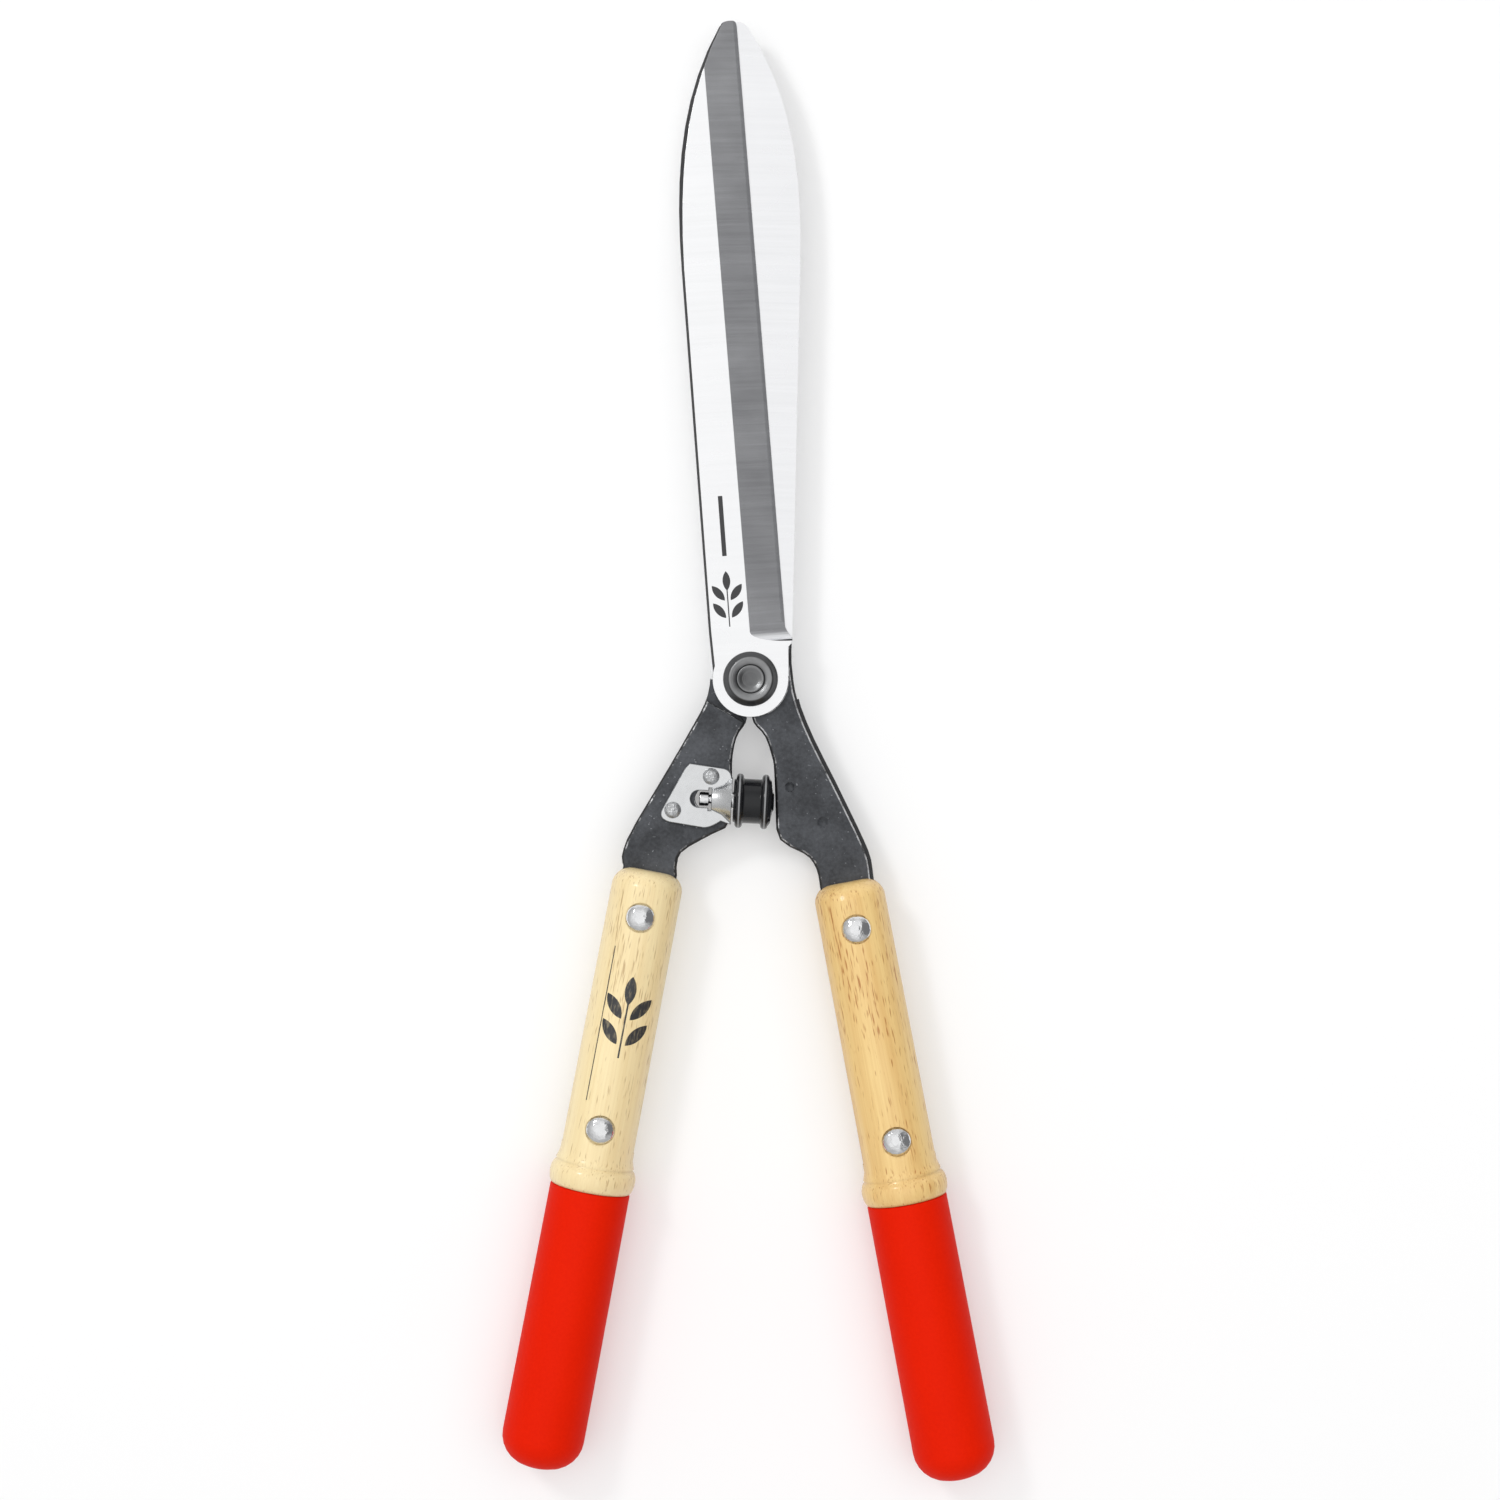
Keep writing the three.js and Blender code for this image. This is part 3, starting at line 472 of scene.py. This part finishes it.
# %% Wood
def ash(name, centre, lean, pale, dark, fleck, fleck_share, band_share):
    wood = Finish(name, Specular_IOR_Level=0.35, Coat_Weight=0.5, Coat_Roughness=0.16)
    band = wood.noise(wood.place(centre, lean, (0.005, 0.25, 0.005)), detail=3, rough=0.55, distortion=0.5)
    fibre = wood.noise(wood.place(centre, lean, (0.0007, 0.05, 0.0007)), detail=4, rough=0.65)
    pore = wood.noise(wood.place(centre, lean, (0.0007, 0.007, 0.0007)), detail=1, rough=0.6)
    cloud = wood.noise(wood.place(centre, lean, (0.014, 0.05, 0.014)), detail=3)
    late = wood.ramp(band, (0.4, 0.0), (0.62, 1.0))
    mix = late * band_share + (fibre - 0.3) * 0.8 + (cloud - 0.3) * 0.4
    colour = wood.blend(mix.maths("MAXIMUM", mix, 0.0), pale, dark)
    flecks = wood.ramp(pore * 0.7 + cloud * 0.3, (0.58, 0.0), (0.68, 1.0)) * fleck_share
    wood.colour = wood.blend(flecks, colour, fleck)
    wood.set(Base_Color=wood.colour, Roughness=0.4 + 0.16 * fibre,
             Normal=wood.bump(fibre - 0.5 * flecks, 0.00003))
    return wood


# %% [markdown]
# The grips are dipped in soft vinyl. It is an even red-orange with a satin skin, slightly uneven because
# it flowed before it set.

# %% Vinyl
def dipped_vinyl():
    vinyl = Finish("dipped_vinyl", Specular_IOR_Level=0.05)
    cloud = vinyl.noise(vinyl.place(lengths=(0.03, 0.05, 0.03)), detail=3)
    skin = vinyl.noise(vinyl.place(lengths=(0.0012, 0.0012, 0.0012)), detail=3, rough=0.6)
    vinyl.set(Base_Color=vinyl.blend(0.5 * cloud + 0.5 * skin, (0.64, 0.008, 0.0), (0.82, 0.017, 0.001)),
              Roughness=0.5 + 0.1 * cloud, Normal=vinyl.bump(cloud + 0.05 * skin, 0.0003))
    return vinyl.material


red_vinyl = dipped_vinyl()

# %% [markdown]
# ## Shapes
# Each new piece stands for one solid of the frame: it hides that solid and moves with its body. Flat faces
# must stay flat in the shading while narrow rounded edges catch the light, so every piece is shaded smooth
# with normals weighted by face area.

# %% A finished piece
SHARP = math.radians(38)
SAME_PLACE = 0.002 * MM


def finished(name, bm, node, *materials):
    mesh = bpy.data.meshes.new(name)
    bm.to_mesh(mesh)
    bm.free()
    for material in materials:
        mesh.materials.append(material)
    mesh.polygons.foreach_set("use_smooth", [True] * len(mesh.polygons))
    mesh.set_sharp_from_angle(angle=SHARP)
    piece = bpy.data.objects.new(name, mesh)
    bpy.context.scene.collection.objects.link(piece)
    weighting = piece.modifiers.new("flat_faces_stay_flat", "WEIGHTED_NORMAL")
    weighting.keep_sharp = True
    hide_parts(node)
    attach(piece, BODY_OF[node])
    print(name, len(mesh.polygons), "faces")
    return piece


def merged_copy(node):
    """The solid's mesh with its loose triangles joined, and flat areas made single faces again."""
    bm = bmesh.new()
    bm.from_mesh(frame["nodes"][node].data)
    bmesh.ops.remove_doubles(bm, verts=bm.verts, dist=SAME_PLACE)
    bmesh.ops.dissolve_limit(bm, angle_limit=math.radians(0.5), verts=bm.verts, edges=bm.edges)
    return bm


def sharp_edges(bm, sharper_than=30):
    return [edge for edge in bm.edges if edge.calc_face_angle(0) > math.radians(sharper_than)]


def round_edges(bm, edges, width, material=-1, clamp=True):
    bmesh.ops.bevel(bm, geom=edges, offset=width, offset_type="OFFSET", segments=2, profile=0.5,
                    affect="EDGES", clamp_overlap=clamp, material=material)


# %% [markdown]
# Most small parts are turned on a lathe. A lathe part is a profile spun round an axis, so the quickest
# way to a smooth one is to read the profile back from its solid and spin it again in finer steps. The
# axis comes from the solid too: the spread of its vertices is the same in every direction across the
# axis, and differs along it.

# %% Read a turned solid back
SPIN_STEPS = 96


def axis_of(node):
    """A turned solid's middle and axis. The axis points towards the tips, or up, or to the right."""
    bm = merged_copy(node)
    corners = np.array([v.co for v in bm.verts])
    bm.free()
    centre = corners.mean(axis=0)
    spread, directions = np.linalg.eigh(np.cov((corners - centre).T))
    along = 0 if spread[1] - spread[0] > spread[2] - spread[1] else 2
    direction = Vector(directions[:, along])
    if direction.y + 0.5 * direction.z + 0.25 * direction.x < 0:
        direction.negate()
    return Vector(centre), direction


# %% [markdown]
# To read a profile back, the solid is stood upright on its axis and cut by a half plane. What is left is a
# bent wire in that plane. Spinning the wire makes the part again, and its sharp edges are then rounded.

# %% Spin it again in finer steps
QUARTER = math.pi / 2
BESIDE_SEAM = math.radians(0.3)
ON_PLANE = 1e-8


def standing_on(centre, direction):
    """A frame whose Z runs along the axis, and whose X is as near to straight up as it can be."""
    guide = Vector((0, 0, 1)) if abs(direction.z) < 0.9 else Vector((1, 0, 0))
    across = (guide - direction * guide.dot(direction)).normalized()
    rotation = Matrix((across, direction.cross(across), direction)).transposed()
    return Matrix.Translation(centre) @ rotation.to_4x4()


def half_section(node, stand, aim=QUARTER / 2):
    """The solid's profile: where a half plane through its axis cuts its surface, as wire edges in X and Z.
    It is cut just beside a seam of the turned surface: the one nearest to the aim in its quarter turn."""
    bm = merged_copy(node)
    bmesh.ops.transform(bm, matrix=stand.inverted(), verts=bm.verts)
    widest = max(vert.co.xy.length for vert in bm.verts)
    rim = [vert.co for vert in bm.verts if vert.co.xy.length > widest - 0.01 * MM]
    seams = [math.atan2(corner.y, corner.x) for corner in rim]
    seam = min(seams, key=lambda angle: abs(angle % QUARTER - aim))
    bmesh.ops.transform(bm, matrix=Matrix.Rotation(-seam - BESIDE_SEAM, 4, "Z"), verts=bm.verts)
    everything = bm.verts[:] + bm.edges[:] + bm.faces[:]
    cut = bmesh.ops.bisect_plane(bm, geom=everything, plane_co=(0, 0, 0), plane_no=(0, 1, 0), dist=ON_PLANE)
    kept = set(cut["geom_cut"])
    bmesh.ops.delete(bm, geom=[v for v in bm.verts if v not in kept], context="VERTS")
    bmesh.ops.delete(bm, geom=bm.faces[:], context="FACES_ONLY")
    bmesh.ops.delete(bm, geom=[e for e in bm.edges if e not in kept], context="EDGES")
    everything = bm.verts[:] + bm.edges[:]
    bmesh.ops.bisect_plane(bm, geom=everything, plane_co=(0, 0, 0), plane_no=(1, 0, 0), clear_inner=True,
                           dist=ON_PLANE)
    bmesh.ops.remove_doubles(bm, verts=bm.verts, dist=2 * SAME_PLACE)
    return bm


def straighten(bm):
    """Dissolve the points in the middle of a straight stretch of a wire profile."""
    middle = []
    for vert in bm.verts:
        if len(vert.link_edges) == 2:
            first, second = (edge.other_vert(vert).co - vert.co for edge in vert.link_edges)
            if first.angle(second, 0) > math.radians(179):
                middle.append(vert)
    bmesh.ops.dissolve_verts(bm, verts=middle)


def spin(bm, stand, rounding):
    """Turn a wire profile into a body, round its sharp edges, and put it back on its axis."""
    straighten(bm)
    geometry = bm.verts[:] + bm.edges[:]
    bmesh.ops.spin(bm, geom=geometry, cent=(0, 0, 0), axis=(0, 0, 1), angle=math.tau, steps=SPIN_STEPS,
                   use_merge=True)
    bmesh.ops.remove_doubles(bm, verts=bm.verts, dist=2 * SAME_PLACE)
    bmesh.ops.recalc_face_normals(bm, faces=bm.faces)
    if rounding:
        round_edges(bm, sharp_edges(bm), rounding)
    bmesh.ops.transform(bm, matrix=stand, verts=bm.verts)
    return bm


def turned(node, rounding, *materials):
    stand = standing_on(*axis_of(node))
    return finished(f"turned_{node}", spin(half_section(node, stand), stand, rounding), node, *materials)


# %% [markdown]
# With that, a turned part takes one line: its solid, how far its edges are rounded, and its finish.

# %% Turned parts
turned("pivot_hub", 0.15 * MM, pivot_steel)
turned("pivot_bolt", 0.08 * MM, pivot_steel)
turned("pivot_washer", 0.05 * MM, zinc_plate)
turned("rubber_bumper", 0.25 * MM, moulded_rubber())
turned("bumper_stud", 0.2 * MM, rivet_steel)
for level in ("upper", "lower"):
    turned(f"bracket_rivet_{level}", 0.2 * MM, dull_rivet)
    for side in ("left", "right"):
        turned(f"{side}_{level}_rivet", 0.12 * MM, rivet_steel)
        turned(f"{side}_{level}_rivet_washer", 0.05 * MM, rivet_steel)
for side in ("left", "right"):
    turned(f"{side}_grip", 0.3 * MM, red_vinyl)

# %% [markdown]
# The wooden handles are turned as well, but the tang's slot, the rivet holes and the flat seats under the
# rivet heads are cut afterwards, as they are in the workshop. The profile is read at 45 degrees to the
# slot, where it is whole except near the axis, and closed at the upper end. The handle's axis is the axis
# of its grip.

# %% Handles
SLOT_HALF = 2.9 * MM
SLOT_LENGTH = 112.5 * MM
HOLE_RADIUS = 3.3 * MM
SEAT_RADIUS = 6.0 * MM
SEAT_HEIGHT = 12.9 * MM
CUTTER_REACH = 40 * MM


def middle_of(node):
    """The middle of a solid's box."""
    first, last = (Vector(corner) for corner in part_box(node))
    return (first + last) / 2


def cutter(create, matrix, **sizes):
    """A temporary object to cut with."""
    bm = bmesh.new()
    create(bm, matrix=matrix, **sizes)
    mesh = bpy.data.meshes.new("cutter")
    bm.to_mesh(mesh)
    bm.free()
    tool = bpy.data.objects.new("cutter", mesh)
    bpy.context.scene.collection.objects.link(tool)
    return tool


def drill(radius, bottom, top, at):
    middle = Matrix.Translation((at.x, at.y, (bottom + top) / 2))
    return cutter(bmesh.ops.create_cone, middle, cap_ends=True, segments=64, radius1=radius, radius2=radius,
                  depth=top - bottom)


def carve(bm, tools):
    """Cut the tools out of a mesh with Boolean modifiers and read the result back."""
    mesh = bpy.data.meshes.new("blank")
    bm.to_mesh(mesh)
    blank = bpy.data.objects.new("blank", mesh)
    bpy.context.scene.collection.objects.link(blank)
    for tool in tools:
        cut = blank.modifiers.new("cut", "BOOLEAN")
        cut.operation = "DIFFERENCE"
        cut.solver = "EXACT"
        cut.object = tool
    bpy.context.view_layer.update()
    carved = blank.evaluated_get(bpy.context.evaluated_depsgraph_get()).to_mesh()
    bm.clear()
    bm.from_mesh(carved)
    for thing in (blank, *tools):
        bpy.data.objects.remove(thing)
    return bm


def handle_blank(side, stand):
    """The handle as it comes off the lathe, whole and with a closed end, and how high that end is."""
    bm = half_section(f"{side}_handle", stand)
    top = max(vert.co.z for vert in bm.verts)
    hole_corner = HOLE_RADIUS / math.sin(QUARTER / 2) + 0.3 * MM
    slot_end = top - SLOT_LENGTH - 1 * MM
    inside = [vert for vert in bm.verts if vert.co.x < hole_corner and vert.co.z > slot_end]
    bmesh.ops.delete(bm, geom=inside, context="VERTS")
    shoulder = max(bm.verts, key=lambda v: (round(v.co.z, 6), -v.co.x))
    bm.edges.new((shoulder, bm.verts.new((0, 0, top))))
    return spin(bm, stand, 0), top


def handle(side, wood):
    centre, direction = axis_of(f"{side}_grip")
    stand = standing_on(centre, direction)
    bm, top = handle_blank(side, stand)
    end = centre + direction * top
    lean = math.atan2(-direction.x, direction.y)
    slot_place = Matrix.Translation(end) @ Matrix.Rotation(lean, 4, "Z")
    slot_size = Matrix.Diagonal((CUTTER_REACH * 2, SLOT_LENGTH * 2, SLOT_HALF * 2, 1))
    tools = [cutter(bmesh.ops.create_cube, slot_place @ slot_size, size=1)]
    for level in ("upper", "lower"):
        rivet = middle_of(f"{side}_{level}_rivet")
        tools.append(drill(HOLE_RADIUS, centre.z - CUTTER_REACH, centre.z + CUTTER_REACH, rivet))
        tools.append(drill(SEAT_RADIUS, centre.z + SEAT_HEIGHT, centre.z + CUTTER_REACH, rivet))
        tools.append(drill(SEAT_RADIUS, centre.z - CUTTER_REACH, centre.z - SEAT_HEIGHT, rivet))
    return finished(f"turned_{side}_handle", carve(bm, tools), f"{side}_handle", wood)


def lean_of(side):
    direction = axis_of(f"{side}_grip")[1]
    return math.atan2(-direction.x, direction.y)


# %% [markdown]
# Each handle gets wood that is turned to its own axis. The left one also carries a printed sprig and a thin
# line, in ink that has worn off the crests of the grain.

# %% Wood and print on each handle
left_ash = ash("pale_ash", middle_of("left_handle"), lean_of("left"), pale=(0.9, 0.76, 0.45),
               dark=(0.7, 0.5, 0.23), fleck=(0.36, 0.2, 0.08), fleck_share=0.6, band_share=0.2)
right_ash = ash("golden_ash", middle_of("right_handle"), lean_of("right"), pale=(0.86, 0.63, 0.27),
                dark=(0.62, 0.34, 0.1), fleck=(0.4, 0.15, 0.03), fleck_share=0.85, band_share=0.3)


def print_on_handle(wood, centre, lean):
    """A sprig halfway between the rivets, and a thin line along the handle, on the upper side only."""
    u, v, height = wood.split(wood.place(centre, lean))
    on_top = height.maths("GREATER_THAN", height, 0.0)
    sprig_place = Vector(centre) + Matrix.Rotation(lean, 3, "Z") @ Vector((0.0015, 0.06, 0))
    mark = wood.sprig(sprig_place, lean, 0.0125) + wood.bar(u + 0.0078, v - 0.0572, 0.0002, 0.031)
    grain = wood.noise(wood.place(centre, lean, (0.0009, 0.004, 0.0009)), detail=3)
    worn = wood.ramp(grain, (0.3, 0.8), (0.5, 1.0))
    wood.set(Base_Color=wood.blend(mark * on_top * worn, wood.colour, INK))


print_on_handle(left_ash, middle_of("left_handle"), lean_of("left"))
handle("left", left_ash.material)
handle("right", right_ash.material)

# %% [markdown]
# The blades, the bracket, the nut and the spring washer aren't turned. Their solids are copied, and their
# sharp edges rounded a little. On the forgings the rounded edges of the black skin are given the worn
# material, and the faces sort themselves: a ground face looks straight up or down, a bevel leans, and the
# steep sides of the strap and blade take a near-black skin, which is painted shade.

# %% Blades
HEEL = 11 * MM
GROUND, BEVEL, BLACK, WORN, SIDE = range(5)
HALF_GAP = 0.15 * MM
DRILL_MARKS = (Vector((15.7, -43.1)) * MM, Vector((28.8, -57.1)) * MM)


def finish_of(face, outer_z, inner_z):
    """The finish of a forging's face, from where it lies and how steep it is."""
    middle = face.calc_center_median()
    steepness = abs(face.normal.z)
    if steepness > 0.995 and abs(middle.z - outer_z) < 0.05 * MM:
        return GROUND
    if steepness > 0.995 and abs(middle.z - inner_z) < 0.05 * MM:
        return GROUND if middle.y > 0 else BLACK
    # Steep faces get the near-black side skin, which is painted shade.
    if middle.y < HEEL:
        return BLACK if steepness > 0.6 else SIDE
    return BEVEL if steepness > 0.5 else SIDE


# %% [markdown]
# An edge is sorted by the two finishes that meet in it. A crease of a few degrees is enough on a long
# straight edge, because that is where the bevel meets the flat. The rims of the two drill marks are left
# alone, and so are edges too short to round.

# %% Edges of the forgings
def kind_of(edge):
    """The finishes on both sides of an edge, the lower number first, or none if the edge is to stay."""
    crease = math.degrees(edge.calc_face_angle(0))
    if crease > 22 or (crease > 3 and edge.calc_length() > 30 * MM):
        return tuple(sorted(face.material_index for face in edge.link_faces))
    return ()


def beside_mark(edge):
    return min((edge.verts[0].co.xy - mark).length for mark in DRILL_MARKS) < 3 * MM


def blade(node, outer_z, inner_z, face_finish, bevel_finish):
    bm = merged_copy(node)
    everything = bm.verts[:] + bm.edges[:] + bm.faces[:]
    bmesh.ops.bisect_plane(bm, geom=everything, plane_co=(0, 0, 0), plane_no=(0, 1, 0), dist=10 * ON_PLANE)
    for face in bm.faces:
        face.material_index = finish_of(face, outer_z, inner_z)
    strap_edges = [edge for edge in bm.edges if edge.calc_length() > 0.6 * MM and not beside_mark(edge)]
    black = [edge for edge in strap_edges if kind_of(edge) in ((BLACK, BLACK), (BLACK, SIDE))]
    round_edges(bm, black, 0.35 * MM, WORN, clamp=False)
    ground = [edge for edge in bm.edges if GROUND in kind_of(edge) or BEVEL in kind_of(edge)]
    round_edges(bm, ground, 0.08 * MM)
    print(len(black), "worn edges,", len(ground), "ground edges")
    return finished(f"finished_{node}", bm, node, face_finish, bevel_finish, black_skin, rubbed_edge,
                    painted_shade_skin)


# %% [markdown]
# The outer face of the front blade is up and that of the back blade is down. Their inner faces meet at the
# height of the pivot, half a gap to each side.

# %% The two forgings
back_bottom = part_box("back_blade")[0][2]
blade("front_blade", front_top, PIVOT.z + HALF_GAP, front_face, front_bevel)
blade("back_blade", back_bottom, PIVOT.z - HALF_GAP, back_face, back_bevel)

# %% [markdown]
# The bracket is a stamping, so its edges are rounded by the press. The nut and the spring washer are
# hidden below the pivot, and need only a small rounding.

# %% Bracket, nut and spring washer
def softened(node, width, *materials):
    """The last of the materials is for the rounded edges."""
    bm = merged_copy(node)
    round_edges(bm, sharp_edges(bm), width, len(materials) - 1, clamp=False)
    return finished(f"finished_{node}", bm, node, *materials)


# The bracket's rounded edges take the darker zinc, which paints their shade.
softened("bumper_bracket", 0.3 * MM, zinc_plate, painted_shade_zinc_edge)
softened("pivot_nut", 0.1 * MM, zinc_plate)
softened("spring_washer", 0.1 * MM, pivot_steel)
